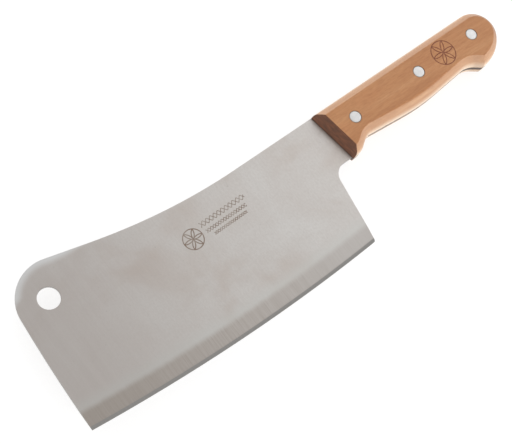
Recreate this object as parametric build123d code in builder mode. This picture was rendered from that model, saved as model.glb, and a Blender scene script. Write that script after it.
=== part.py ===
"""Meat cleaver: a full-tang blade, two beech handle scales and three two-part rivets.

Millimetres, +Z up. The cleaver lies flat on its far scale: the butt of the handle points
along +X, the nose of the blade along -X, the spine along +Y and the cutting edge along -Y.
The origin is the middle of the underside of the whole cleaver's box.

Outlines are drawn in the drawing plane, whose own origin is the corner where the spine
runs into the front of the handle.
"""
import os
from math import cos, radians, sin, tan

from build123d import *

# Blade outline
blade_length = 201.5        # handle front to the lower nose corner
nose_depth = 67.3           # spine line to the lower nose corner
nose_lean = 7.2             # how far the front edge leans back over its height
nose_bow = 1.15             # bulge of the front edge from its chord
nose_radius = 22.0          # rounded upper nose corner
flare_start = 57.6          # handle front to where the spine begins to rise
flare_radius = 365.0        # hollow of the rising spine
flare_angle = 14.0          # slope that the spine reaches
heel_setback = 16.8         # handle front to the heel corner
heel_depth = 76.6           # spine line to the heel corner
heel_angle = 9.6            # lean of the heel line from the square
heel_corner_radius = 1.0
edge_bow = 3.75             # belly of the cutting edge from its chord
neck_depth = 31.35          # spine line to the underside of the neck
neck_radius = 8.4

# Blade section
blade_thickness = 2.2
bevel_height = 10.6         # ground band above the cutting edge
bevel_shoulder = 1.0        # thickness left where the honed edge begins
hone_height = 1.5           # narrow honed band at the very edge
edge_thickness = 0.12
hang_hole_diameter = 12.0
hang_hole_from_nose = 21.8  # lower nose corner to the hole's centre, along the spine line
hang_hole_drop = 1.4        # spine line to the hole's centre
hang_hole_chamfer = 0.15

# Handle outline
handle_length = 134.9
front_lean = 0.144          # the handle's front edge leans back this much per millimetre of depth
butt_radius = 13.9          # upper butt corner
butt_turn = 129.0           # degrees through which the upper butt corner turns
hook_from_butt = 23.7       # butt to the tip of the hook
hook_depth = 32.4
front_depth = 32.4          # depth of the handle at its front edge
# Underside: straight runs that meet in these corners, each rounded to its radius
toe_at = 10.5
toe_depth = 32.1
toe_radius = 10.0
finger_hollow_at = 19.2
finger_hollow_depth = 26.4
finger_hollow_radius = 11.0
belly_depth = 30.1          # halfway between the two hollows
belly_radius = 140.0
rear_hollow_from_tip = 8.9
rear_hollow_depth = 26.55
rear_hollow_radius = 15.0

# Handle section
scale_thickness = 8.0
side_bevel = 4.4            # flat bevel round the outer face
side_radius = 5.0           # soft turn from the bevel into the side
front_slope = 0.42          # the cut front leans back this much per millimetre of height

# Rivets
rivet_places = (("front", 18.0, 14.9), ("middle", 69.7, 14.1), ("rear", 115.0, 13.4))
head_diameter = 7.0
head_thickness = 1.4
head_chamfer = 0.25
barrel_diameter = 4.6
pin_diameter = 3.2
barrel_floor_gap = 0.6      # free space between the pin's end and the barrel's floor
barrel_end_gap = 0.8        # free space between the barrel's rim and the pin's head
head_clearance = 0.1        # round the head, in its counterbore
barrel_clearance = 0.1      # round the barrel, in scales and tang

# How far cutters run past what they cut
run_out = 12.0
cutter_margin = 1.5

# Heights
tang_floor = scale_thickness
tang_top = tang_floor + blade_thickness
handle_thickness = tang_top + scale_thickness
middle_height = handle_thickness / 2


def handle_back(run_out=0.0):
    """Top and butt of the handle from its front to the hook tip, carried on straight past both."""
    hook_tip = (handle_length - hook_from_butt, -hook_depth)
    with BuildLine() as back:
        top = Line((-run_out, 0), (handle_length - butt_radius, 0))
        upper = JernArc(top @ 1, top % 1, butt_radius, -butt_turn)
        lower = TangentArc(upper @ 1, hook_tip, tangent=upper % 1)
        if run_out:
            Line(hook_tip, lower @ 1 + lower % 1 * run_out)
    return back.line


def handle_belly(run_out=0.0):
    """Underside of the handle from the hook tip to its front, carried on straight past both."""
    hook_tip = (handle_length - hook_from_butt, -hook_depth)
    rear_hollow_at = hook_tip[0] - rear_hollow_from_tip
    front_foot = (front_depth * front_lean, -front_depth)
    with BuildLine() as belly:
        grip = FilletPolyline(
            hook_tip,
            (rear_hollow_at, -rear_hollow_depth),
            ((rear_hollow_at + finger_hollow_at) / 2, -belly_depth),
            (finger_hollow_at, -finger_hollow_depth),
            (toe_at, -toe_depth),
            front_foot,
            radius=(rear_hollow_radius, belly_radius, finger_hollow_radius, toe_radius),
        )
        if run_out:
            Line(grip @ 0 - grip % 0 * run_out, hook_tip)
            Line(front_foot, grip @ 1 + grip % 1 * run_out)
    return belly.line


def handle_outline():
    """The handle seen from above."""
    with BuildSketch() as outline:
        with BuildLine():
            add(handle_back())
            belly = handle_belly()
            add(belly)
            Line(belly @ 1, (0, 0))
        make_face()
    return outline.sketch


def blade_outline():
    """The blade ahead of the handle, carried a little way back under the scales."""
    lap = heel_setback / 2
    nose_foot = (-blade_length, -nose_depth)
    heel = (-heel_setback, -heel_depth)
    neck_corner = (-heel_setback + (heel_depth - neck_depth) * tan(radians(heel_angle)), -neck_depth)
    rise_start = (
        -flare_start - flare_radius * sin(radians(flare_angle)),
        flare_radius * (1 - cos(radians(flare_angle))),
    )
    nose_top_x = -blade_length + nose_lean
    nose_top = (nose_top_x, rise_start[1] + (rise_start[0] - nose_top_x) * tan(radians(flare_angle)))
    with BuildSketch() as outline:
        with BuildLine():
            Line((lap, 0), (-flare_start, 0))
            JernArc((-flare_start, 0), (-1, 0), flare_radius, -flare_angle)
            Line(rise_start, nose_top)
            SagittaArc(nose_top, nose_foot, -nose_bow)
            SagittaArc(nose_foot, heel, -edge_bow)
            Line(heel, neck_corner)
            Line(neck_corner, (lap, -neck_depth))
            Line((lap, -neck_depth), (lap, 0))
        make_face()
        fillet(outline.vertices().sort_by_distance(nose_top)[0], nose_radius)
        fillet(outline.vertices().sort_by_distance(heel)[0], heel_corner_radius)
        fillet(outline.vertices().sort_by_distance(neck_corner)[0], neck_radius)
    return outline.sketch


def level(height):
    """The drawing plane at a height, placed so that the origin is the middle of the box."""
    return Plane(origin=(-plan_middle.X, -plan_middle.Y, height))


def rivet_locations(height):
    """The three rivet centres at a height."""
    return [level(height) * Pos(along, -depth) for _, along, depth in rivet_places]


handle_face = handle_outline()
blade_face = blade_outline()
plan_middle = (blade_face + handle_face).bounding_box().center()

# Blade with its full tang
with BuildPart() as blade:
    with BuildSketch(level(tang_floor)):
        add(blade_face)
        add(handle_face)
    extrude(amount=blade_thickness)

    cutting_edge = blade_face.edges().filter_by(GeomType.CIRCLE).sort_by(SortBy.RADIUS)[-1]
    edge_radius = cutting_edge.radius
    edge_axis = Axis(level(0).from_local_coords(cutting_edge.arc_center), (0, 0, 1))
    # The grinds are cones about the axis of the edge's own arc, so they run parallel to it.
    with BuildSketch(Plane(origin=edge_axis.position, x_dir=(0, -1, 0), z_dir=(-1, 0, 0))):
        for side in (1, -1):
            with BuildLine():
                Polyline(
                    (edge_radius - bevel_height, middle_height + side * blade_thickness / 2),
                    (edge_radius - hone_height, middle_height + side * bevel_shoulder / 2),
                    (edge_radius, middle_height + side * edge_thickness / 2),
                    (edge_radius + hone_height, middle_height + side * edge_thickness / 2),
                    (edge_radius + hone_height, middle_height + side * blade_thickness),
                    (edge_radius - bevel_height, middle_height + side * blade_thickness),
                    close=True,
                )
            make_face()
    revolve(axis=edge_axis, mode=Mode.SUBTRACT)

    hang_hole = Pos(hang_hole_from_nose - blade_length, -hang_hole_drop)
    with Locations(level(tang_top) * hang_hole):
        Hole(hang_hole_diameter / 2)
    hole_rims = blade.edges().filter_by(GeomType.CIRCLE).filter_by(
        lambda rim: abs(rim.radius - hang_hole_diameter / 2) < 0.01
    )
    chamfer(hole_rims, hang_hole_chamfer)
    with Locations(*rivet_locations(tang_top)):
        Hole(barrel_diameter / 2 + barrel_clearance)

# Scales: a flat face with a bevel all round, and a front cut back at a slant
with BuildPart() as near_scale:
    with BuildSketch(level(tang_top)):
        add(handle_face)
    extrude(amount=scale_thickness)
    for stretch in handle_back(run_out).edges() + handle_belly(run_out).edges():
        rim = level(handle_thickness).from_local_coords(stretch)
        with BuildSketch(Plane(origin=rim @ 0, x_dir=(rim % 0).rotate(Axis.Z, 90), z_dir=rim % 0)) as off_cut:
            with BuildLine():
                Polyline(
                    (0, -scale_thickness),
                    (0, -side_bevel),
                    (-side_bevel, 0),
                    (-side_bevel, cutter_margin),
                    (cutter_margin, cutter_margin),
                    (cutter_margin, -scale_thickness),
                    close=True,
                )
            make_face()
            fillet(off_cut.vertices().sort_by_distance((0, -side_bevel))[0], side_radius)
        sweep(path=rim, mode=Mode.SUBTRACT)
    front_cut = Plane(origin=level(tang_top).origin, x_dir=(front_lean, -1, 0),
                      z_dir=(1, front_lean, -front_slope))
    split(bisect_by=front_cut, keep=Keep.TOP)
    with Locations(*rivet_locations(handle_thickness)):
        CounterBoreHole(
            radius=barrel_diameter / 2 + barrel_clearance,
            counter_bore_radius=head_diameter / 2 + head_clearance,
            counter_bore_depth=head_thickness,
        )

with BuildPart() as far_scale:
    mirror(near_scale.part, about=Plane.XY.offset(middle_height))

pieces = {"blade": blade.part, "near_scale": near_scale.part, "far_scale": far_scale.part}

# Rivets: a socket pressed up from the far side and a pin pressed into it from the near side
barrel_floor = head_thickness + barrel_floor_gap
barrel_rim = handle_thickness - head_thickness - barrel_end_gap
for name, along, depth in rivet_places:
    centre = Pos(along, -depth)

    with BuildPart() as socket:
        with BuildSketch(level(0) * centre):
            Circle(head_diameter / 2)
        extrude(amount=head_thickness)
        chamfer(socket.edges().group_by(Axis.Z)[0], head_chamfer)
        with BuildSketch(level(head_thickness) * centre):
            Circle(barrel_diameter / 2)
        extrude(amount=barrel_rim - head_thickness)
        with BuildSketch(level(barrel_rim) * centre):
            Circle(pin_diameter / 2)
        extrude(amount=barrel_floor - barrel_rim, mode=Mode.SUBTRACT)

    with BuildPart() as pin:
        with BuildSketch(level(handle_thickness) * centre):
            Circle(head_diameter / 2)
        extrude(amount=-head_thickness)
        chamfer(pin.edges().group_by(Axis.Z)[-1], head_chamfer)
        with BuildSketch(level(handle_thickness - head_thickness) * centre):
            Circle(pin_diameter / 2)
        extrude(amount=barrel_floor + barrel_floor_gap + head_thickness - handle_thickness)

    pieces[f"{name}_rivet_socket"] = socket.part
    pieces[f"{name}_rivet_pin"] = pin.part

os.makedirs("parts", exist_ok=True)
for name, piece in pieces.items():
    piece.label = name
    export_step(piece, f"parts/{name}.step")
    print(name, len(piece.solids()), round(piece.volume, 1), piece.is_valid)
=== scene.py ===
"""Meat cleaver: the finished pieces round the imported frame, and the floor, the light and the camera.

Metres, Z up. Plan points are written in the handle's own plane, whose origin is the corner where
the spine runs into the front of the handle, and on_plan() moves them to the frame.
"""
from math import cos, pi, radians, sin, tan

import bmesh
import bpy
import numpy as np
from mathutils import Matrix, Vector
from mathutils.geometry import tessellate_polygon


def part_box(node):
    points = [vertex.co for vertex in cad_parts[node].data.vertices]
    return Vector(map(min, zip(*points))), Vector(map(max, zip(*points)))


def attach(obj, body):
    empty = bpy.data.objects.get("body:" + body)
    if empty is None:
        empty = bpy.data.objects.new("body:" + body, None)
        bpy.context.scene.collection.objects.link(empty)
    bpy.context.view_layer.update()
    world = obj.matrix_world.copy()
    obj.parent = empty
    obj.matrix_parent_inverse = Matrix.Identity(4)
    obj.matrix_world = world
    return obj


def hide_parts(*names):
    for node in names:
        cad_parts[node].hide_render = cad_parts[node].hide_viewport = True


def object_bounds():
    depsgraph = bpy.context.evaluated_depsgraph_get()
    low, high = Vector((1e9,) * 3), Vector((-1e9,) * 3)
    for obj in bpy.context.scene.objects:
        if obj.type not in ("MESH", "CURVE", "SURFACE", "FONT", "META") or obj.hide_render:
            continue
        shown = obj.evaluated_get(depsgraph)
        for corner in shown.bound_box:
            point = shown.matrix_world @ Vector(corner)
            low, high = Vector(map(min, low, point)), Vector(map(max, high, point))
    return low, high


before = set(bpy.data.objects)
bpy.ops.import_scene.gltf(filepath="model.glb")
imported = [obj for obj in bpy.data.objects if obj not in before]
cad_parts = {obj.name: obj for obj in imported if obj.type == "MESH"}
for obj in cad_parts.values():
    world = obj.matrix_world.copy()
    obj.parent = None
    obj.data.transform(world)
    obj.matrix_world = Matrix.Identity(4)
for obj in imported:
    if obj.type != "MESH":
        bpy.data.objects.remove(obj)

cad_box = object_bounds()

# Heights and the plan's origin, from the frame
blade_low, blade_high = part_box("blade")
scale_low, scale_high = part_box("near_scale")
middle_height = (blade_low.z + blade_high.z) / 2
half_thickness = (blade_high.z - blade_low.z) / 2
scale_thickness = scale_high.z - scale_low.z
face_height = scale_high.z
plan_origin = np.array([scale_low.x, scale_high.y])

# Blade outline
blade_length = 0.2015
nose_depth = 0.0673
nose_lean = 0.0072
nose_bow = 0.00115
nose_radius = 0.022
flare_start = 0.0576
flare_radius = 0.365
flare_angle = radians(14)
heel_setback = 0.0168
heel_depth = 0.0766
heel_angle = radians(9.6)
heel_corner_radius = 0.001
edge_bow = 0.00375
neck_depth = 0.03135
neck_radius = 0.0084
tang_corner_radius = 0.0002
nose_turn_step = radians(0.15)
flare_turn_step = radians(0.8)
slope_step = 0.0025

# Blade section: half thicknesses at distances from the cutting edge
section_reach = (0.0, 0.0015, 0.0106)
section_half = (0.00006, 0.0005, half_thickness)
hone_reach, band_reach = section_reach[1:]
crease_ease = 0.0004
# The ground band's arcs, by their distance from the edge
band_stations = np.array([
    0.0, 0.00015, 0.00035, 0.0006, 0.001, hone_reach - crease_ease, hone_reach + crease_ease,
    0.003, 0.005, 0.0075, band_reach - crease_ease, band_reach + crease_ease, band_reach + 3 * crease_ease,
])
band_columns = 122

# Eased rims of the blade: the plain ease, at most a share of the half thickness, and the landing inside it,
# in sizes of the rim
edge_ease = 0.00016
edge_ease_share = 0.6
rim_steps = 7
rim_landing = 1.3

# The nose's ground rim: where it grows in y and ends in x, and the strength of its painted highlight at the
# border, with the loss over one size of the rim
nose_ease_width = 0.0042
nose_ease_depth = 0.00034
nose_rim_rise = (0.001, 0.009)
nose_rim_end = (-0.168, -0.134)
nose_brightness = 1.05
nose_brightness_loss = 0.9

# Hanging hole
hang_hole = (0.0218 - blade_length, -0.0014)
hang_hole_radius = 0.006
hang_hole_ease = 0.00032

# Handle outline
handle_length = scale_high.x - scale_low.x
handle_depth = 0.0324
front_lean = 0.144
butt_radius = 0.0139
butt_centre = np.array([handle_length - butt_radius, -butt_radius])
butt_turn = radians(129)
hook_tip = (handle_length - 0.0237, -handle_depth)
front_foot = (handle_depth * front_lean, -handle_depth)
rear_hollow = (hook_tip[0] - 0.0089, -0.02655)
finger_hollow = (0.0192, -0.0264)
underside_corners = (
    rear_hollow,
    ((rear_hollow[0] + finger_hollow[0]) / 2, -0.0301),
    finger_hollow,
    (0.0105, -0.0321),
)
underside_radii = (0.015, 0.140, 0.011, 0.010)

# Handle section
side_bevel = 0.0044
side_radius = 0.005
side_steps = 9
crease_radius = 0.0006
crease_steps = 7
crease_landing = 0.35
# The crease's wear along the belly, from none to full at each end, in x
worn_crease_radius = 0.0026
worn_belly = ((0.026, 0.046), (0.092, 0.072))
seam_ease = 0.00014
front_slope = 0.42

# Rivets
rivet_places = {"front": (0.018, -0.0149), "middle": (0.0697, -0.0141), "rear": (0.115, -0.0134)}
head_radius = 0.0035
head_thickness = 0.0014
head_round = 0.00035
head_round_steps = 6
head_dome = 0.00005
head_dome_steps = 7
barrel_radius = 0.0023
pin_radius = 0.0016
rivet_clearance = 0.0001
counterbore_ease = 0.00008
barrel_floor = head_thickness + 0.0006
barrel_rim = 2 * middle_height - head_thickness - 0.0008

# Marks: a compass rosette burnt in the handle, a smaller one and three bands etched in the blade
burnt_mark = (0.0912, -0.0130)
burnt_mark_radius = 0.0078
burnt_stroke = 0.00052
etched_mark = (-0.1000, -0.0185)
etched_mark_radius = 0.0058
etched_stroke = 0.00050
etched_bands = (
    # first x, last x, y, height, pitch
    (-0.0925, -0.0620, -0.0145, 0.0032, 0.0026),
    (-0.0915, -0.0640, -0.0191, 0.0022, 0.0018),
    (-0.0885, -0.0660, -0.0225, 0.0018, 0.0015),
)
# A mark's line is full out to the core and gone at the fade, in widths of its stroke.
stroke_core = 0.35
rosette_fade = 0.75
lozenge_fade = 0.8

# Tones of the steel, as linear red, green and blue
warm_patch_tone = (0.763, 0.690, 0.642)
plain_patch_tone = (0.842, 0.804, 0.776)
cool_patch_tone = (0.885, 0.863, 0.840)
# The nose tones are painted shade, darker towards the nose
nose_tone = (0.568, 0.508, 0.479)
mottle_tone = (0.670, 0.619, 0.581)
streak_tone = (0.908, 0.885, 0.851)
grinding_line_tone = (0.545, 0.511, 0.477)
speck_tone = (0.454, 0.420, 0.386)
fringe_tone = (0.812, 0.808, 0.781)
fringe_nose_tone = (0.636, 0.619, 0.590)
dark_stroke_tone = (0.570, 0.516, 0.474)
plain_stroke_tone = (0.672, 0.624, 0.588)
pale_stroke_tone = (0.762, 0.722, 0.690)
band_cloud_tone = (0.681, 0.636, 0.590)
band_nose_tone = (0.454, 0.400, 0.354)
band_heel_tone = (0.780, 0.750, 0.728)
above_hone_tone = (0.477, 0.443, 0.409)
# Painted highlight on the ground nose's rim
nose_highlight_tone = (0.930, 0.930, 0.930)
# Painted shade on rims that turn upright
shaded_upright_steel_tone = (0.306, 0.297, 0.289)
# Painted shadow along the front of the handle and over the tang
contact_shadow_tone = (0.340, 0.295, 0.261)
handle_shadow_tone = (0.110, 0.080, 0.065)
etched_tone = (0.289, 0.195, 0.138)
dark_honed_tone = (0.400, 0.388, 0.373)
pale_honed_tone = (0.470, 0.458, 0.444)
nick_tone = (0.630, 0.630, 0.619)

# Tones of the wood
dark_grain_tone = (0.362, 0.153, 0.058)
plain_grain_tone = (0.422, 0.192, 0.077)
pale_grain_tone = (0.482, 0.243, 0.108)
golden_tone = (0.455, 0.215, 0.090)
blush_tone = (0.430, 0.162, 0.060)
fibre_tone = (0.300, 0.118, 0.045)
fleck_tone = (0.240, 0.100, 0.042)
# Painted highlight where the wood tilts
tilt_highlight_tone = (0.760, 0.660, 0.520)
# End grain tones; on the front end they also carry painted shade
dark_end_tone = (0.052, 0.009, 0.002)
plain_end_tone = (0.112, 0.024, 0.006)
pale_end_tone = (0.225, 0.066, 0.021)
# Painted shade in the seam and round the rivets
seam_shade_tone = (0.075, 0.036, 0.020)
rivet_shade_tone = (0.160, 0.085, 0.050)
burnt_tone = (0.145, 0.030, 0.008)

# Tones of the rivets and the floor
scratched_tone = (0.885, 0.880, 0.878)
sanded_tone = (0.955, 0.955, 0.955)
# Painted shade round the rivet head's edge
rivet_edge_shade_tone = (0.458, 0.425, 0.403)
dark_paper_tone = (0.30, 0.30, 0.30)
pale_paper_tone = (0.32, 0.32, 0.32)

# Reliefs of the finishes
grinding_relief = 0.000007
whetting_relief = 0.000006
grain_relief = 0.00003
burn_depth = 0.00010
ring_pitch = 0.00022
ring_relief = 0.0000012
scratch_relief = 0.000004

# Meshes: points round a full circle, and what is merged, dissolved and kept sharp
round_count = 64
merge_distance = 2e-7
sliver_length = 1e-8
sharp_angle = radians(25)

# The blade's two lower corners
nose_foot = np.array([-blade_length, -nose_depth])
heel = np.array([-heel_setback, -heel_depth])


def on_plan(point):
    """A plan point, or an array of them, in the frame."""
    return np.asarray(point) + plan_origin


def part_way(value, start, end):
    """How far a value has come from start to end, held between 0 and 1."""
    return np.clip((value - start) / (end - start), 0, 1)


# ---------------------------------------------------------------- outlines
def chain(*runs):
    """Runs of points joined end to end, with each shared end kept once."""
    return np.vstack([np.atleast_2d(runs[0])] + [np.atleast_2d(run)[1:] for run in runs[1:]])


def line(start, end, step=None):
    """Points from start to end, no further apart than step."""
    length = np.linalg.norm(np.subtract(end, start))
    count = 2 if step is None else int(np.ceil(length / step)) + 1
    return np.linspace(start, end, max(2, count))


def arc(centre, start, end, step=radians(3)):
    """The shorter arc from start to end: the centre plus the radius turned through even angles."""
    out, back = np.subtract(start, centre), np.subtract(end, centre)
    first = np.arctan2(out[1], out[0])
    turn = (np.arctan2(back[1], back[0]) - first + pi) % (2 * pi) - pi
    angles = first + turn * np.linspace(0, 1, max(2, int(np.ceil(abs(turn) / step)) + 1))
    return np.asarray(centre) + np.hypot(*out) * np.column_stack([np.cos(angles), np.sin(angles)])


def bow_centre(start, end, bow):
    """The centre of the arc that stands off its chord by bow, on the left of the way from start to end."""
    chord = np.subtract(end, start)
    length = np.hypot(*chord)
    radius = (length**2 / 4 + bow**2) / (2 * bow)
    right = np.array([chord[1], -chord[0]]) / length
    return (np.add(start, end)) / 2 + right * (radius - bow)


def edge_circle():
    """The centre and the radius of the cutting edge's own arc."""
    centre = bow_centre(heel, nose_foot, edge_bow)
    return centre, np.linalg.norm(heel - centre)


def leaving_centre(start, heading, end):
    """The centre of the arc that leaves start along heading and reaches end: it lies on the normal at
    start, at the chord squared over twice the chord's share of that normal."""
    chord = np.subtract(end, start)
    normal = np.array([heading[1], -heading[0]])
    return start + normal * (chord @ chord) / (2 * chord @ normal)


def rounded(corners, radii):
    """A run of straight lines whose inner corners are arcs: each arc begins and ends at the radius times
    the tangent of half the turn from its corner, and its centre lies along the corner's bisector."""
    corners = np.asarray(corners, float)
    runs = [corners[:1]]
    for before, corner, after, radius in zip(corners, corners[1:], corners[2:], radii):
        back = (before - corner) / np.linalg.norm(before - corner)
        on = (after - corner) / np.linalg.norm(after - corner)
        half = np.arccos(np.clip(back @ on, -1, 1)) / 2
        bisector = (back + on) / np.linalg.norm(back + on)
        reach = radius / np.tan(half)
        centre = corner + bisector * radius / np.sin(half)
        runs.append(arc(centre, corner + back * reach, corner + on * reach))
    return np.vstack(runs + [corners[-1:]])


def mitres(path):
    """For each point of a run that keeps the piece on its right, the way that moves both of its sides
    inwards by one: the sum of their two normals times two over that sum squared."""
    sides = np.diff(path, axis=0)
    sides /= np.linalg.norm(sides, axis=1)[:, None]
    normals = np.column_stack([sides[:, 1], -sides[:, 0]])
    both = np.vstack([normals[:1], normals]) + np.vstack([normals, normals[-1:]])
    return both * 2 / (both**2).sum(1)[:, None]


def butt_point(angle):
    """The point of the butt's round at an angle, and the way the outline is heading there."""
    out = np.array([cos(angle), sin(angle)])
    return butt_centre + butt_radius * out, np.array([out[1], -out[0]])


def hook_arc():
    """The arc from the end of the butt's round to the hook tip: its centre and its points."""
    start, heading = butt_point(pi / 2 - butt_turn)
    centre = leaving_centre(start, heading, hook_tip)
    return centre, arc(centre, start, hook_tip)


def handle_back():
    """The top and the butt of the handle, from its front corner to the hook tip. The first station after
    the corner is a scale's thickness away, clear of the slanting front plane."""
    first_station = (scale_thickness, 0.0)
    corner, halfway, turned = (butt_point(pi / 2 - turn)[0] for turn in (0, butt_turn / 2, butt_turn))
    return chain([(0.0, 0.0), first_station], line(first_station, corner),
                 arc(butt_centre, corner, halfway), arc(butt_centre, halfway, turned), hook_arc()[1])


def handle_belly():
    """The underside of the handle, from the hook tip to its front foot."""
    return rounded((hook_tip,) + underside_corners + (front_foot,), underside_radii)


def circle(centre, radius):
    """Points round a full circle, the last one short of the first."""
    angles = np.arange(round_count) * 2 * pi / round_count
    return np.asarray(centre) + radius * np.column_stack([np.cos(angles), np.sin(angles)])


# ---------------------------------------------------------------- shells
class Shell:
    """A closed surface put together from grids and flat faces that share their border points."""

    def __init__(self):
        self.points = []
        self.faces = []
        self.kinds = []
        self.marks = []
        self.count = 0

    def _keep(self, points, faces, kind, marks):
        """Adds points with their marks, and faces between them with the number of their finish."""
        points = np.asarray(points, float).reshape(-1, 3)
        self.points.append(points)
        self.faces += (np.asarray(faces) + self.count).tolist()
        self.kinds.append(np.full(len(faces), kind) if np.isscalar(kind) else np.asarray(kind))
        self.marks.append(np.broadcast_to(np.asarray(marks, float).reshape(-1), (len(points),)))
        self.count += len(points)

    def grid(self, points, closed=False, kind=0, marks=0.0):
        """Faces between neighbouring rows and columns of a grid of points, and, if it is closed, from
        the last column back to the first."""
        rows, columns = points.shape[:2]
        index = np.arange(rows * columns).reshape(rows, columns)
        if closed:
            index = np.column_stack([index, index[:, :1]])
        quads = np.stack([index[:-1, :-1], index[:-1, 1:], index[1:, 1:], index[1:, :-1]], -1)
        if not np.isscalar(kind):
            kind = np.repeat(kind, quads.shape[1])
        self._keep(points, quads.reshape(-1, 4), kind, marks)

    def flat(self, border, holes, height):
        """A level face inside a border and outside its holes, filled in millimetres, because the filler
        goes astray on the small steps of a bore's rim in metres."""
        loops = [border] + holes
        faces = tessellate_polygon([[Vector((1000 * x, 1000 * y, 0)) for x, y in loop] for loop in loops])
        plan = np.vstack(loops)
        self._keep(np.column_stack([plan, np.full(len(plan), height)]), faces, 0, 0.0)

    def turned(self, centre, profile, marks=None):
        """A profile of radii and heights carried round an upright axis, marked with its own radii unless
        another mark is given."""
        profile = np.asarray(profile, float)
        rings = [np.column_stack([circle(centre, radius), np.full(round_count, height)])
                 for radius, height in profile]
        if marks is None:
            marks = np.repeat(profile[:, 0], round_count)
        self.grid(np.array(rings), closed=True, marks=marks)

    def piece(self, name, finishes, node, slot, mark_name):
        """The shell as an object that replaces a CAD node: border points merged, slivers dissolved, faces
        turned outwards, rims kept sharp."""
        mesh = bpy.data.meshes.new(name)
        mesh.from_pydata(np.vstack(self.points).tolist(), [], self.faces)
        mesh.polygons.foreach_set("material_index", np.concatenate(self.kinds).astype(np.int32))
        mark = mesh.attributes.new(mark_name, "FLOAT", "POINT")
        mark.data.foreach_set("value", np.concatenate(self.marks).astype(np.float32))
        build = bmesh.new()
        build.from_mesh(mesh)
        bmesh.ops.remove_doubles(build, verts=build.verts, dist=merge_distance)
        bmesh.ops.dissolve_degenerate(build, edges=build.edges, dist=sliver_length)
        bmesh.ops.recalc_face_normals(build, faces=build.faces)
        open_edges = sum(not edge.is_manifold for edge in build.edges)
        print(name, len(build.verts), "points", len(build.faces), "faces", open_edges, "open edges")
        build.to_mesh(mesh)
        build.free()
        mesh.polygons.foreach_set("use_smooth", np.ones(len(mesh.polygons), bool))
        mesh.set_sharp_from_angle(angle=sharp_angle)
        for finish in finishes:
            mesh.materials.append(finish)
        piece = bpy.data.objects.new(name, mesh)
        bpy.context.scene.collection.objects.link(piece)
        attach(piece, "root")
        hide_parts(node)
        return piece


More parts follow.
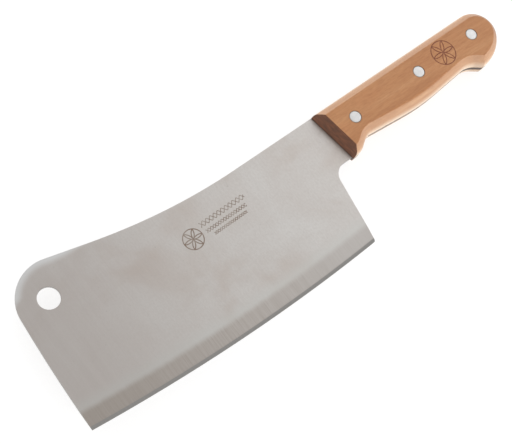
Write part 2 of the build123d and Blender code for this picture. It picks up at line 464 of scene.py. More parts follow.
# ---------------------------------------------------------------- finishes
class Finish:
    """A material's nodes, with a short way to add each kind that the finishes need."""

    def __init__(self, name, **sockets):
        self.material = bpy.data.materials.new(name)
        self.material.use_nodes = True
        self.tree = self.material.node_tree
        self.shader = self.tree.nodes["Principled BSDF"]
        for socket, value in sockets.items():
            self.feed(self.shader.inputs[socket.replace("_", " ")], value)
        self.place = self.node("ShaderNodeTexCoord").outputs["Object"]

    def node(self, kind, **settings):
        node = self.tree.nodes.new(kind)
        for setting, value in settings.items():
            setattr(node, setting, value)
        return node

    def feed(self, socket, value):
        """Links another node's output to a socket, or sets the socket to a plain value."""
        if isinstance(value, bpy.types.NodeSocket):
            self.tree.links.new(value, socket)
        else:
            socket.default_value = value

    def maths(self, operation, *values):
        node = self.node("ShaderNodeMath", operation=operation)
        for socket, value in zip(node.inputs, values):
            self.feed(socket, value)
        return node.outputs[0]

    def vector(self, operation, *values, output="Vector"):
        node = self.node("ShaderNodeVectorMath", operation=operation)
        for socket, value in zip(node.inputs, values):
            self.feed(socket, value)
        return node.outputs[output]

    def noise(self, size, detail=3.0, roughness=0.55, distortion=0.0, seed=0.0):
        """Noise whose grains are about size long on each axis, in metres."""
        moved = self.vector("MULTIPLY", self.place, tuple(1 / s for s in size))
        node = self.node("ShaderNodeTexNoise", noise_dimensions="4D")
        for socket, value in (("Vector", moved), ("W", seed), ("Scale", 1.0), ("Detail", detail),
                              ("Roughness", roughness), ("Distortion", distortion)):
            self.feed(node.inputs[socket], value)
        return node.outputs["Fac"]

    def spread(self, value, low, high, to_low=0.0, to_high=1.0):
        """value from low to high eased onto to_low to to_high."""
        node = self.node("ShaderNodeMapRange", interpolation_type="SMOOTHSTEP")
        for socket, amount in zip(node.inputs, (value, low, high, to_low, to_high)):
            self.feed(socket, amount)
        return node.outputs[0]

    def ramp(self, value, *stops):
        """value onto tones, given as positions from 0 to 1 with their tones."""
        node = self.node("ShaderNodeValToRGB")
        self.feed(node.inputs[0], value)
        elements = node.color_ramp.elements
        while len(elements) < len(stops):
            elements.new(0.5)
        for element, (position, colour) in zip(elements, stops):
            element.position = position
            element.color = (*colour, 1.0)
        return node.outputs["Color"]

    def mix(self, factor, under, over):
        """Tone under, covered by tone over as far as factor says. A Mix node's tones are its inputs 6 and 7
        and its output 2."""
        node = self.node("ShaderNodeMix", data_type="RGBA")
        for socket, value in ((node.inputs[0], factor), (node.inputs[6], under), (node.inputs[7], over)):
            if isinstance(value, tuple):
                value = (*value, 1.0)
            self.feed(socket, value)
        return node.outputs[2]

    def attribute(self, name):
        return self.node("ShaderNodeAttribute", attribute_name=name).outputs["Fac"]

    def bump(self, height, distance, under=None):
        """Relief of a height from 0 to 1 that stands up to distance, over any relief under it."""
        node = self.node("ShaderNodeBump")
        self.feed(node.inputs["Distance"], distance)
        self.feed(node.inputs["Height"], height)
        if under is not None:
            self.feed(node.inputs["Normal"], under)
        self.feed(self.shader.inputs["Normal"], node.outputs["Normal"])
        return node.outputs["Normal"]

    def split(self, vector):
        node = self.node("ShaderNodeSeparateXYZ")
        self.feed(node.inputs[0], vector)
        return node.outputs

    def near_plan(self, centre):
        """The plan distance vector from a plan point, with no height."""
        x, y = on_plan(centre)
        flat = self.vector("MULTIPLY", self.place, (1, 1, 0))
        return self.vector("SUBTRACT", flat, (x, y, 0))

    def compass_rosette(self, centre, radius, stroke):
        """A six-petalled rosette in a ring, drawn with a compass: the petals are arcs of circles as
        large as the ring, centred on it. The angle is folded into a twelfth of a turn, where one such
        circle draws the petal's side."""
        away = self.near_plan(centre)
        x, y, _ = self.split(away)
        reach = self.vector("LENGTH", away, output="Value")
        folded = self.maths("PINGPONG", self.maths("ARCTAN2", y, x), radians(30))
        across = self.maths("SUBTRACT", self.maths("MULTIPLY", reach, self.maths("COSINE", folded)),
                            radius * cos(radians(60)))
        down = self.maths("ADD", self.maths("MULTIPLY", reach, self.maths("SINE", folded)),
                          radius * sin(radians(60)))
        squares = self.maths("ADD", self.maths("POWER", across, 2.0), self.maths("POWER", down, 2.0))
        from_arc = self.maths("ABSOLUTE", self.maths("SUBTRACT", self.maths("SQRT", squares), radius))
        outside = self.maths("MULTIPLY", self.maths("GREATER_THAN", reach, radius), radius)
        from_ring = self.maths("ABSOLUTE", self.maths("SUBTRACT", reach, radius))
        nearest = self.maths("MINIMUM", self.maths("ADD", from_arc, outside), from_ring)
        return self.spread(nearest, stroke * stroke_core, stroke * rosette_fade, 1.0, 0.0)

    def lozenge_band(self, first, last, level, height, pitch, stroke):
        """A band of linked lozenges: where the folded way along plus the way across makes one."""
        along, across, _ = self.split(self.near_plan((first, level)))
        fold = self.maths("DIVIDE", self.maths("PINGPONG", along, pitch / 2), pitch / 2)
        rise = self.maths("DIVIDE", self.maths("ABSOLUTE", across), height / 2)
        from_side = self.maths("ABSOLUTE", self.maths("SUBTRACT", self.maths("ADD", fold, rise), 1.0))
        full = stroke * stroke_core / height * 2
        gone = stroke * lozenge_fade / height * 2
        drawn = self.spread(from_side, full, gone, 1.0, 0.0)
        drawn = self.maths("MULTIPLY", drawn, self.maths("LESS_THAN", rise, 1.0))
        begun = self.maths("GREATER_THAN", along, 0.0)
        ended = self.maths("LESS_THAN", along, last - first)
        return self.maths("MULTIPLY", drawn, self.maths("MULTIPLY", begun, ended))


def ground_steel():
    """Flat of the blade and the ground band above its edge: fine grinding from spine to edge, warm and cool
    patches, painted shade darker towards the nose, a cool fringe where the band begins, coarser and browner
    grinding in the band, the ground nose with a painted highlight, painted shade on the upright rims, a
    painted shadow along the handle and over the tang, and the etched marks."""
    steel = Finish("ground_steel", Metallic=1.0)
    lines = steel.noise((0.00042, 0.045, 0.01), detail=5.0, roughness=0.7)
    broad = steel.noise((0.0045, 0.090, 0.01), detail=2.0, seed=3.0)
    patches = steel.noise((0.042, 0.036, 0.05), distortion=0.8, seed=7.0)
    mottle = steel.noise((0.0011, 0.0016, 0.002), roughness=0.65, seed=11.0)
    specks = steel.noise((0.0011, 0.0011, 0.0011), detail=1.0, seed=12.0)
    strokes = steel.noise((0.00060, 0.028, 0.01), detail=5.0, roughness=0.75, seed=2.0)
    wear = steel.noise((0.004, 0.004, 0.004), seed=5.0)
    along, across, _ = steel.split(steel.near_plan((0.0, 0.0)))
    # Painted shade: the flat, the fringe and the band are painted darker towards the nose
    painted_nose_shade = steel.spread(along, -0.205, -0.085, 0.60, 0.0)

    # The flat, painted darker towards the nose as shade
    tone = steel.ramp(patches, (0.30, warm_patch_tone), (0.48, plain_patch_tone), (0.66, cool_patch_tone))
    tone = steel.mix(painted_nose_shade, tone, nose_tone)
    tone = steel.mix(steel.spread(mottle, 0.32, 0.68, 0.24, 0.0), tone, mottle_tone)
    tone = steel.mix(steel.spread(broad, 0.35, 0.75, 0.0, 0.10), tone, streak_tone)
    tone = steel.mix(steel.spread(lines, 0.35, 0.65, 0.12, 0.0), tone, grinding_line_tone)
    tone = steel.mix(steel.spread(specks, 0.70, 0.78, 0.0, 0.22), tone, speck_tone)

    # Distance from the cutting edge, with the uneven border that a belt leaves
    centre, bend = edge_circle()
    from_centre = steel.vector("LENGTH", steel.near_plan(centre), output="Value")
    uneven = steel.spread(broad, 0.3, 0.7, -0.0002, 0.0002)
    from_edge = steel.maths("ADD", steel.maths("SUBTRACT", bend, from_centre), uneven)

    # The fringe, the band, and the strip just above the honed edge
    fringe = steel.spread(from_edge, band_reach, band_reach + 0.0080, 0.62, 0.0)
    tone = steel.mix(fringe, tone, steel.mix(painted_nose_shade, fringe_tone, fringe_nose_tone))
    brown = steel.ramp(strokes, (0.30, dark_stroke_tone), (0.50, plain_stroke_tone), (0.70, pale_stroke_tone))
    brown = steel.mix(steel.spread(broad, 0.3, 0.7, 0.0, 0.20), brown, band_cloud_tone)
    brown = steel.mix(painted_nose_shade, brown, band_nose_tone)
    brown = steel.mix(steel.spread(along, -0.105, -0.020, 0.0, 0.60), brown, band_heel_tone)
    banded = steel.spread(from_edge, band_reach - 0.0024, band_reach + 0.0014, 1.0, 0.0)
    tone = steel.mix(banded, tone, brown)
    tone = steel.mix(steel.spread(from_edge, 0.0014, 0.0030, 0.35, 0.0), tone, above_hone_tone)

    # The ground nose's rim with a painted highlight, and painted shade on the rims, darker as they turn
    # upright
    tone = steel.mix(steel.spread(steel.attribute("ground"), 0.0, 0.95), tone, nose_highlight_tone)
    facing = steel.node("ShaderNodeNewGeometry").outputs["Normal"]
    level_on = steel.maths("ABSOLUTE", steel.split(facing)[2])
    tone = steel.mix(steel.spread(level_on, 0.30, 0.97, 0.75, 0.0), tone, shaded_upright_steel_tone)

    # Painted shadow along the front of the handle: a soft one on the blade, and a dark one at the front line
    # and over the tang behind it
    from_front = steel.maths("ADD", along, steel.maths("MULTIPLY", across, front_lean))
    tone = steel.mix(steel.spread(from_front, -0.0030, -0.0001, 0.0, 0.40), tone, contact_shadow_tone)
    tone = steel.mix(steel.spread(from_front, -0.0010, 0.0002, 0.0, 0.90), tone, handle_shadow_tone)

    # The etched marks, on the near face only and unevenly worn
    etched = steel.compass_rosette(etched_mark, etched_mark_radius, etched_stroke)
    for mark in etched_bands:
        etched = steel.maths("MAXIMUM", etched, steel.lozenge_band(*mark, etched_stroke))
    near_side = steel.maths("GREATER_THAN", steel.split(steel.place)[2], middle_height)
    worn = steel.spread(wear, 0.3, 0.6, 0.60, 0.90)
    etched = steel.maths("MULTIPLY", steel.maths("MULTIPLY", etched, near_side), worn)
    steel.feed(steel.shader.inputs["Base Color"], steel.mix(etched, tone, etched_tone))

    rough = steel.spread(lines, 0.2, 0.8, 0.34, 0.46)
    rough = steel.maths("ADD", rough, steel.spread(mottle, 0.3, 0.7, 0.04, -0.03))
    rough = steel.maths("ADD", rough, steel.maths("MULTIPLY", steel.maths("MAXIMUM", etched, banded), 0.07))
    steel.feed(steel.shader.inputs["Roughness"], rough)
    relief = steel.maths("ADD", lines, steel.maths("MULTIPLY", strokes, banded))
    steel.bump(relief, grinding_relief)
    return steel.material


def honed_steel():
    """Honed edge: an even, darker bevel with fine whetting lines across it and a few bright nicks."""
    steel = Finish("honed_steel", Metallic=1.0)
    lines = steel.noise((0.00025, 0.006, 0.01), detail=4.0, roughness=0.7, seed=4.0)
    nicks = steel.noise((0.002, 0.002, 0.002), detail=2.0, seed=6.0)
    tone = steel.ramp(lines, (0.3, dark_honed_tone), (0.7, pale_honed_tone))
    tone = steel.mix(steel.spread(nicks, 0.6, 0.75, 0.0, 0.08), tone, nick_tone)
    steel.feed(steel.shader.inputs["Base Color"], tone)
    steel.feed(steel.shader.inputs["Roughness"], steel.spread(nicks, 0.3, 0.7, 0.34, 0.42))
    steel.bump(lines, whetting_relief)
    return steel.material


def beech():
    """Steamed beech, oiled: bands along the grain, fine fibres and short dark flecks, a painted highlight
    where the surface tilts, dark thirsty end grain with painted shade added on the front end, painted shade
    in the seam along the tang and round the rivets, and the mark burnt in the near face."""
    wood = Finish("oiled_beech", Coat_Weight=0.30, Coat_Roughness=0.32)
    warp = wood.noise((0.045, 0.009, 0.009), detail=2.0, seed=1.0)
    bands = wood.noise((0.085, 0.0042, 0.0042), roughness=0.5, distortion=0.35, seed=2.0)
    fibres = wood.noise((0.0055, 0.00062, 0.00062), detail=4.0, roughness=0.65, distortion=0.15, seed=3.0)
    flecks = wood.noise((0.0024, 0.00030, 0.00030), detail=2.0, roughness=0.5, seed=4.0)
    blush = wood.noise((0.030, 0.012, 0.012), detail=2.0, seed=5.0)
    pores = wood.noise((0.0012, 0.0050, 0.0006), roughness=0.6, seed=6.0)
    scorch = wood.noise((0.003, 0.003, 0.003), seed=8.0)

    tone = wood.ramp(bands, (0.30, dark_grain_tone), (0.50, plain_grain_tone), (0.70, pale_grain_tone))
    tone = wood.mix(wood.spread(warp, 0.35, 0.7, 0.0, 0.30), tone, golden_tone)
    tone = wood.mix(wood.spread(blush, 0.45, 0.75, 0.0, 0.26), tone, blush_tone)
    tone = wood.mix(wood.spread(fibres, 0.32, 0.62, 0.46, 0.0), tone, fibre_tone)
    fleck = wood.spread(flecks, 0.56, 0.70, 0.0, 0.26)
    tone = wood.mix(fleck, tone, fleck_tone)

    # A painted highlight where the surface tilts, and dark end grain where it faces along the handle, darkest
    # in front, where painted shade is added to it
    end_on, _, up_on = wood.split(wood.node("ShaderNodeNewGeometry").outputs["Normal"])
    level_on = wood.maths("ABSOLUTE", up_on)
    tone = wood.mix(wood.spread(level_on, 0.10, 0.98, 0.58, 0.0), tone, tilt_highlight_tone)
    # Painted shade on the front end, added to its dark end grain
    front_grain_and_shade = wood.spread(end_on, -0.93, -0.36, 0.88, 0.0)
    end_grain_and_shade = wood.maths("ADD", front_grain_and_shade, wood.spread(end_on, 0.15, 0.85, 0.0, 0.46))
    thirsty = wood.ramp(pores, (0.3, dark_end_tone), (0.5, plain_end_tone), (0.7, pale_end_tone))
    tone = wood.mix(end_grain_and_shade, tone, thirsty)

    # Painted shade in the seam and round the rivets
    tone = wood.mix(wood.spread(wood.attribute("seam"), 0.1, 0.9, 0.0, 0.75), tone, seam_shade_tone)
    for place in rivet_places.values():
        reach = wood.vector("LENGTH", wood.near_plan(place), output="Value")
        rivet_ring_shade = wood.spread(reach, head_radius + 0.0001, head_radius + 0.0007, 0.40, 0.0)
        tone = wood.mix(rivet_ring_shade, tone, rivet_shade_tone)

    # The burnt mark, on the near face only and unevenly scorched
    burnt = wood.compass_rosette(burnt_mark, burnt_mark_radius, burnt_stroke)
    near_side = wood.maths("GREATER_THAN", wood.split(wood.place)[2], middle_height)
    uneven = wood.spread(scorch, 0.3, 0.6, 0.72, 1.0)
    burnt = wood.maths("MULTIPLY", wood.maths("MULTIPLY", burnt, near_side), uneven)
    wood.feed(wood.shader.inputs["Base Color"], wood.mix(burnt, tone, burnt_tone))

    rough = wood.spread(fibres, 0.3, 0.7, 0.50, 0.40)
    rough = wood.maths("ADD", rough, wood.maths("MULTIPLY", end_grain_and_shade, 0.32))
    wood.feed(wood.shader.inputs["Roughness"], rough)
    relief = wood.maths("SUBTRACT", fibres, wood.maths("MULTIPLY", fleck, 0.8))
    grain = wood.bump(relief, grain_relief)
    wood.bump(wood.maths("SUBTRACT", 1.0, burnt), burn_depth, grain)
    return wood.material


def rivet_metal():
    """Aluminium sanded flush with the wood: fine turned rings, then scratches along the handle, and painted
    shade round the head's edge.
    """
    metal = Finish("flush_rivet_metal", Metallic=1.0)
    reach = metal.attribute("turning")
    rings = metal.maths("SINE", metal.maths("MULTIPLY", reach, 2 * pi / ring_pitch))
    scratches = metal.noise((0.004, 0.00012, 0.01), detail=4.0, roughness=0.7, seed=1.0)
    cloud = metal.noise((0.002, 0.002, 0.002), detail=2.0, seed=2.0)
    tone = metal.ramp(scratches, (0.3, scratched_tone), (0.7, sanded_tone))
    # Painted shade: darker round the head's edge
    tone = metal.mix(metal.spread(reach, head_radius - 0.0005, head_radius, 0.0, 0.65), tone, rivet_edge_shade_tone)
    metal.feed(metal.shader.inputs["Base Color"], tone)
    metal.feed(metal.shader.inputs["Roughness"], metal.spread(cloud, 0.3, 0.7, 0.34, 0.46))
    under = metal.bump(rings, ring_relief)
    metal.bump(scratches, scratch_relief, under)
    return metal.material


# ---------------------------------------------------------------- blade
def meeting(centre, radii, other_centre, other_radius, near):
    """For each radius, the point near `near` where its circle meets another circle."""
    gap = np.subtract(other_centre, centre)
    apart = np.hypot(*gap)
    along = (radii**2 - other_radius**2 + apart**2) / (2 * apart)
    off = np.sqrt(radii**2 - along**2)
    way = gap / apart
    side = np.array([-way[1], way[0]])
    choices = [centre + along[:, None] * way + sign * off[:, None] * side for sign in (1, -1)]
    return min(choices, key=lambda points: np.linalg.norm(points[0] - near))


def nose_circle():
    """The centre and the radius of the bowed front's own arc, from the nose's foot to the point above it
    where the flare's slope would pass."""
    x = -blade_length + nose_lean
    slope_rise = tan(flare_angle) * (-flare_start - flare_radius * sin(flare_angle) - x)
    nose_top = np.array([x, flare_radius * (1 - cos(flare_angle)) + slope_rise])
    centre = bow_centre(nose_foot, nose_top, nose_bow)
    return centre, np.linalg.norm(nose_foot - centre)


def blade_outline_from(nose_row, heel_row):
    """The blade's border from the top of the ground band at the nose, over the spine and round the tang,
    to the top of the band at the heel."""
    rise = np.array([-flare_start - flare_radius * sin(flare_angle), flare_radius * (1 - cos(flare_angle))])
    up_slope = np.array([-cos(flare_angle), sin(flare_angle)])
    inside = np.array([-up_slope[1], up_slope[0]])
    nose_centre, nose_bend = nose_circle()
    # The nose corner's centre: its radius inside the slope, and its radius inside the front's own arc.
    start = rise + inside * nose_radius - nose_centre
    share = start @ up_slope
    reach = -share + np.sqrt(share**2 - start @ start + (nose_bend - nose_radius) ** 2)
    corner = rise + inside * nose_radius + up_slope * reach
    front_end = nose_centre + (corner - nose_centre) / np.linalg.norm(corner - nose_centre) * nose_bend
    slope_start = corner - inside * nose_radius
    neck = np.array([-heel_setback + (heel_depth - neck_depth) * tan(heel_angle), -neck_depth])
    shoulder = (neck_depth * front_lean, -neck_depth)
    return chain(
        arc(nose_centre, nose_row, front_end, nose_turn_step),
        arc(corner, front_end, slope_start),
        line(slope_start, rise, slope_step),
        arc((-flare_start, flare_radius), rise, (-flare_start, 0.0), flare_turn_step),
        line((-flare_start, 0.0), (0.0, 0.0)),
        handle_back(),
        handle_belly(),
        rounded((front_foot, shoulder, neck, heel_row), (tang_corner_radius, neck_radius)),
    )


def eased_rim():
    """Insets and drops of an eased rim of size one: a quarter circle, then a level landing inside it."""
    ease = np.linspace(0, pi / 2, rim_steps)
    return np.append(1 - np.cos(ease), rim_landing), np.append(1 - np.sin(ease), 0.0)


def ground_band_grid():
    """Points of the ground band: arcs parallel to the cutting edge, one for each station, from the front's
    own arc to the slanted heel, at the half thickness that the section gives, and eased down at both ends.
    Below the centre of the heel corner's round each arc stops short, by the round's radius less the root of
    that radius squared less the square of the drop below its centre."""
    edge_centre, edge_bend = edge_circle()
    half = np.interp(band_stations, section_reach, section_half)
    bends = edge_bend - band_stations
    nose_side = meeting(edge_centre, bends, *nose_circle(), nose_foot) - edge_centre
    heel_way = np.array([sin(heel_angle), cos(heel_angle)])
    share = (heel - edge_centre) @ heel_way
    lift = -share - np.sqrt(share**2 - ((heel - edge_centre) @ (heel - edge_centre) - bends**2))
    heel_side = heel + lift[:, None] * heel_way - edge_centre
    corner = np.clip(heel_corner_radius - band_stations, 0, None)
    cut_back = heel_corner_radius - np.sqrt(heel_corner_radius**2 - corner**2)
    first = np.arctan2(nose_side[:, 1], nose_side[:, 0])
    last = np.arctan2(heel_side[:, 1], heel_side[:, 0]) - cut_back / bends

    inset, drop = eased_rim()
    ends = edge_ease * inset[None, :] / bends[:, None]
    between = np.linspace(0, 1, band_columns)[1:-1]
    angles = np.hstack([
        first[:, None] + ends,
        (first + ends[:, -1])[:, None] * (1 - between) + (last - ends[:, -1])[:, None] * between,
        last[:, None] - ends[:, ::-1],
    ])
    drops = np.concatenate([drop, np.zeros(len(between)), drop[::-1]])
    depth = np.minimum(edge_ease, edge_ease_share * half)
    plan = edge_centre + bends[:, None, None] * np.stack([np.cos(angles), np.sin(angles)], -1)
    return np.dstack([plan, half[:, None] - depth[:, None] * drops])


def rim_grid(nose_row, heel_row):
    """Points of the eased rim round the rest of the border, and the strength of each one's painted highlight:
    a quarter of an ellipse carried round the outline, whose size goes from the plain ease to the nose's wide
    and shallow one by the cubic step 3 t^2 - 2 t^3."""
    outline = blade_outline_from(nose_row, heel_row)
    edge_centre = edge_circle()[0]
    inwards = mitres(outline)
    for end, sign in ((0, 1), (-1, -1)):
        out = outline[end] - edge_centre
        inwards[end] = sign * np.array([-out[1], out[0]]) / np.linalg.norm(out)
    up_front = part_way(outline[:, 1], *nose_rim_rise)
    past_corner = part_way(outline[:, 0], *nose_rim_end)
    nose = up_front**2 * (3 - 2 * up_front) * (1 - past_corner**2 * (3 - 2 * past_corner))
    inset, drop = eased_rim()
    width = edge_ease + nose * (nose_ease_width - edge_ease)
    dip = edge_ease + nose * (nose_ease_depth - edge_ease)
    plan = outline[None] + (inset[:, None] * width)[:, :, None] * inwards[None]
    # Strength of the painted highlight on the nose's rim
    ground = np.clip(nose_brightness - nose_brightness_loss * inset, 0, 1)[:, None] * nose
    return np.dstack([plan, half_thickness - drop[:, None] * dip]), ground


def make_blade(finishes):
    """The blade with its tang: on each side the ground band, the eased rim, and a level face with bores,
    then the bores' walls and the border's upright wall. Rows nearer the edge than the hone are honed."""
    ground_band = ground_band_grid()
    rim, rim_highlight = rim_grid(ground_band[-1, 0, :2], ground_band[-1, -1, :2])
    inset, drop = eased_rim()
    level_border = np.vstack([rim[-1, :, :2], ground_band[-1, -len(inset) - 1:len(inset) - 1:-1, :2]])
    border = np.vstack([ground_band[0], ground_band[1:, -1], rim[0, -2::-1], ground_band[-2:0:-1, 0]])
    band_kinds = (band_stations[:-1] < hone_reach).astype(int)
    bores = [(on_plan(hang_hole), hang_hole_radius, hang_hole_ease)]
    for place in rivet_places.values():
        bores.append((on_plan(place), barrel_radius + rivet_clearance, counterbore_ease))

    shell = Shell()
    shift = np.array([*plan_origin, middle_height])
    for side in (1, -1):
        up = np.array([1, 1, side])
        shell.grid(ground_band * up + shift, kind=band_kinds)
        shell.grid(rim * up + shift, marks=rim_highlight)
        holes = [circle(centre, radius + round_off * inset[-1]) for centre, radius, round_off in bores]
        shell.flat(on_plan(level_border), holes, middle_height + side * half_thickness)
        for centre, radius, round_off in bores:
            lip = np.column_stack([radius + round_off * inset[::-1], half_thickness - round_off * drop[::-1]])
            shell.turned(centre, lip * (1, side) + (0, middle_height), marks=0.0)
    for centre, radius, round_off in bores:
        top = half_thickness - round_off
        shell.turned(centre, [(radius, middle_height + top), (radius, middle_height - top)], marks=0.0)
    shell.grid(np.array([border, border * (1, 1, -1)]) + shift, closed=True)
    # The mark 'ground' carries the strength of the nose rim's painted highlight
    return shell.piece("ground_blade", finishes, "blade", "blade_steel", "ground")


# ---------------------------------------------------------------- handle
def scale_profile(crease):
    """Insets and heights over the tang, a row for each profile point and a column for each crease radius:
    an eased seam edge, the upright side, the soft turn, the flat bevel, and the round of the crease where
    the face begins. Each round is an arc of even angles."""
    turn = radians(45)
    side_top = scale_thickness - side_bevel - side_radius * tan(turn / 2)
    soft = np.linspace(0, turn, side_steps)[1:]
    low = np.array([(seam_ease, 0), (0, seam_ease), (0, 3 * seam_ease), (0, side_top)])
    bend = np.column_stack([side_radius * (1 - np.cos(soft)), side_top + side_radius * np.sin(soft)])
    fixed = np.vstack([low, bend])
    crisp = np.linspace(turn, 2 * turn, crease_steps)
    # For one metre of crease radius: how far in and how far down each point of its round lies.
    round_in = np.append(tan(turn / 2) - np.cos(crisp), tan(turn / 2) + crease_landing)
    round_down = np.append(1 - np.sin(crisp), 0.0)
    even = np.ones(len(crease))
    insets = np.vstack([np.outer(fixed[:, 0], even), side_bevel + np.outer(round_in, crease)])
    heights = np.vstack([np.outer(fixed[:, 1], even), scale_thickness - np.outer(round_down, crease)])
    seam = np.zeros(len(insets))
    seam[:2] = 1.0
    return insets, heights, seam


def make_scale(name, node, side, finish):
    """A scale: the profile carried round the handle's outline from the front's upper corner to its foot,
    with mitred corners, both ends trimmed by the slanting front plane, and level faces with the bores.
    The crease is worn rounder along the belly."""
    back = handle_back()
    path = chain(back, handle_belly())
    inwards = mitres(path)
    past_hook = np.arange(len(path)) >= len(back)
    into_belly, out_of_belly = (part_way(path[:, 0], *span) for span in worn_belly)
    worn = into_belly * out_of_belly * past_hook
    insets, heights, seam = scale_profile(crease_radius + (worn_crease_radius - crease_radius) * worn)
    plan = path[None] + insets[:, :, None] * inwards[None]

    # Round the hook, each row of the back's arc ends where it meets the same row of the underside.
    hook_centre, hook_points = hook_arc()
    hook = len(back) - 1
    way = (path[hook + 1] - path[hook]) / np.linalg.norm(path[hook + 1] - path[hook])
    bends = np.linalg.norm(path[hook] - hook_centre) - insets[:, hook]
    start = path[hook] - hook_centre + insets[:, hook, None] * np.array([way[1], -way[0]])
    share = start @ way
    ends = start + (-share - np.sqrt(share**2 - (start**2).sum(1) + bends**2))[:, None] * way
    first_out = hook_points[0] - hook_centre
    first = np.arctan2(first_out[1], first_out[0])
    turn = np.arctan2(ends[:, 1], ends[:, 0]) - first
    angles = first + turn[:, None] * np.linspace(0, 1, len(hook_points))
    hook_rows = hook_centre + bends[:, None, None] * np.stack([np.cos(angles), np.sin(angles)], -1)
    plan[:, hook + 1 - len(hook_points):hook + 1] = hook_rows

    # An end's straight run meets the front plane, where x + lean * y = slope * height.
    front = np.array([1.0, front_lean])
    for end, way in ((0, path[1] - path[0]), (-1, path[-1] - path[-2])):
        slide = (front_slope * heights[:, end] - plan[:, end] @ front) / (way @ front)
        plan[:, end] += slide[:, None] * way
    skin = np.dstack([plan, heights])
    front_face = skin[:, [0, -1]]

    shell = Shell()
    lift = np.array([*plan_origin, middle_height + side * half_thickness])
    way_up = np.array([1, 1, side])
    shell.grid(skin * way_up + lift, marks=np.repeat(seam, len(path)))
    shell.grid(front_face * way_up + lift, marks=np.repeat(seam, 2))
    centres = [on_plan(place) for place in rivet_places.values()]
    sunk = head_radius + rivet_clearance
    landing = sunk + 3 * counterbore_ease
    bore = barrel_radius + rivet_clearance
    top = lift[2] + side * scale_thickness
    floor = top - side * head_thickness
    counterbore = [(landing, top), (sunk + counterbore_ease, top), (sunk, top - side * counterbore_ease),
                   (sunk, floor), (bore, floor), (bore, lift[2])]
    shell.flat(on_plan(plan[-1]), [circle(centre, landing) for centre in centres], top)
    shell.flat(on_plan(plan[0]), [circle(centre, bore) for centre in centres], lift[2])
    for centre in centres:
        shell.turned(centre, counterbore, marks=0.0)
    return shell.piece(name, [finish], node, "handle_wood", "seam")


# ---------------------------------------------------------------- rivets
def head_profile():
    """Radii and depths below the outer face: a very flat dome, then a round shoulder and the head's side."""
    reach = np.linspace(0, head_radius - head_round, head_dome_steps)
    dome = head_dome * (reach / head_radius) ** 2
    ease = np.linspace(0, pi / 2, head_round_steps)[1:]
    shoulder = np.column_stack([head_radius - head_round * (1 - np.sin(ease)),
                                dome[-1] + head_round * (1 - np.cos(ease))])
    return np.vstack([np.column_stack([reach, dome]), shoulder, [(head_radius, head_thickness)]])


def make_rivets(finish):
    """For each rivet, a socket up from the far face and a pin down from the near one: a turned head, then
    the barrel with its bore, or the shank."""
    head = head_profile()
    for name, place in rivet_places.items():
        centre = on_plan(place)
        socket = Shell()
        body = [(barrel_radius, head_thickness), (barrel_radius, barrel_rim), (pin_radius, barrel_rim),
                (pin_radius, barrel_floor), (0, barrel_floor)]
        socket.turned(centre, np.vstack([head, body]))
        socket.piece(f"{name}_socket", [finish], f"{name}_rivet_socket", "rivet_metal", "turning")
        pin = Shell()
        shank_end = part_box(f"{name}_rivet_pin")[0].z
        body = [(pin_radius, face_height - head_thickness), (pin_radius, shank_end), (0, shank_end)]
        pin.turned(centre, np.vstack([head * (1, -1) + (0, face_height), body]))
        pin.piece(f"{name}_pin", [finish], f"{name}_rivet_pin", "rivet_metal", "turning")


# ---------------------------------------------------------------- floor, light, camera
def make_floor():
    """A wide level floor, pale and evenly lit from within, as a light table is, and very slightly mottled."""
    reach = 6.0
    gap = 0.00005
    level = cad_box[0][2] - gap
    corners = [(-reach, -reach, level), (reach, -reach, level), (reach, reach, level), (-reach, reach, level)]
    mesh = bpy.data.meshes.new("floor")
    mesh.from_pydata(corners, [], [(0, 1, 2, 3)])
    white = (1.0, 1.0, 1.0, 1.0)
    paper = Finish("pale_lit_floor", Roughness=0.9, Emission_Color=white, Emission_Strength=0.74)
    mottle = paper.noise((0.4, 0.4, 0.4), seed=2.0)
    tone = paper.ramp(mottle, (0.3, dark_paper_tone), (0.7, pale_paper_tone))
    paper.feed(paper.shader.inputs["Base Color"], tone)
    mesh.materials.append(paper.material)
    floor = bpy.data.objects.new("floor", mesh)
    bpy.context.scene.collection.objects.link(floor)


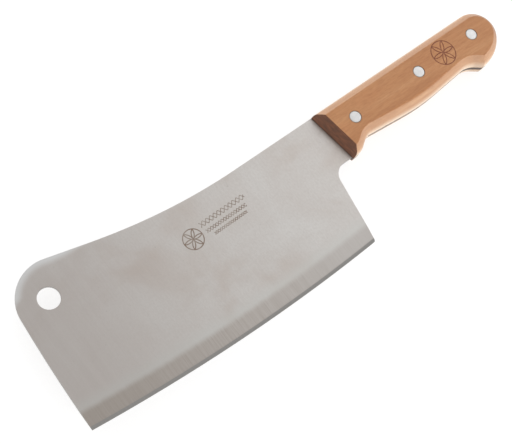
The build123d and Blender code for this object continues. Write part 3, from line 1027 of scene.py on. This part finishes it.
def aimed(thing, place, target, up=(0, 0, 1)):
    """Puts an object at a place with its own -Z towards the target."""
    back = (Vector(place) - Vector(target)).normalized()
    right = Vector(up).cross(back).normalized()
    turn = Matrix((right, back.cross(right), back)).transposed()
    thing.matrix_world = Matrix.Translation(place) @ turn.to_4x4()
    bpy.context.scene.collection.objects.link(thing)


def make_lights():
    """An even pale surround and three soft boxes: along the underside, along the back, and over the butt.
    The two long boxes are kept out of reflections, so that the blade's face isn't a glare from low down."""
    surround_tone = (1.0, 0.995, 0.985, 1.0)
    surround_strength = 0.575
    boxes = {
        # name: place, target, width, height, watts, seen in reflections
        "underside_box": ((0.55, -1.25, 0.42), (0.05, 0, 0), 2.4, 1.0, 28.5, False),
        "back_box": ((0.30, 1.30, 0.60), (0.05, 0, 0), 2.4, 1.2, 21.0, False),
        "butt_box": ((1.25, 0.28, 1.20), (0.0, 0, 0), 1.0, 1.0, 1.5, True),
    }
    world = bpy.data.worlds.new("surround")
    bpy.context.scene.world = world
    world.use_nodes = True
    background = world.node_tree.nodes["Background"]
    background.inputs["Color"].default_value = surround_tone
    background.inputs["Strength"].default_value = surround_strength
    for name, (place, target, width, height, watts, mirrored) in boxes.items():
        light = bpy.data.lights.new(name, "AREA")
        light.shape = "RECTANGLE"
        light.size = width
        light.size_y = height
        light.energy = watts
        lamp = bpy.data.objects.new(name, light)
        lamp.visible_glossy = mirrored
        aimed(lamp, place, target)


def make_camera():
    """A long lens looking down on the near face from beyond the nose, rolled so that the handle points up
    and to the right."""
    place = (-0.2757, -0.0826, 0.5683)
    target = (-0.0321, -0.0001, 0.0091)
    up = (0.5280, 0.7762, 0.3445)
    data = bpy.data.cameras.new("camera")
    data.lens = 80.86
    data.sensor_width = 36.0
    camera = bpy.data.objects.new("camera", data)
    aimed(camera, place, target, up)
    bpy.context.scene.camera = camera


wood_finish = beech()
make_blade([ground_steel(), honed_steel()])
make_scale("near_beech_scale", "near_scale", 1, wood_finish)
make_scale("far_beech_scale", "far_scale", -1, wood_finish)
make_rivets(rivet_metal())
make_floor()
make_lights()
make_camera()
bpy.context.scene.view_settings.view_transform = "Standard"
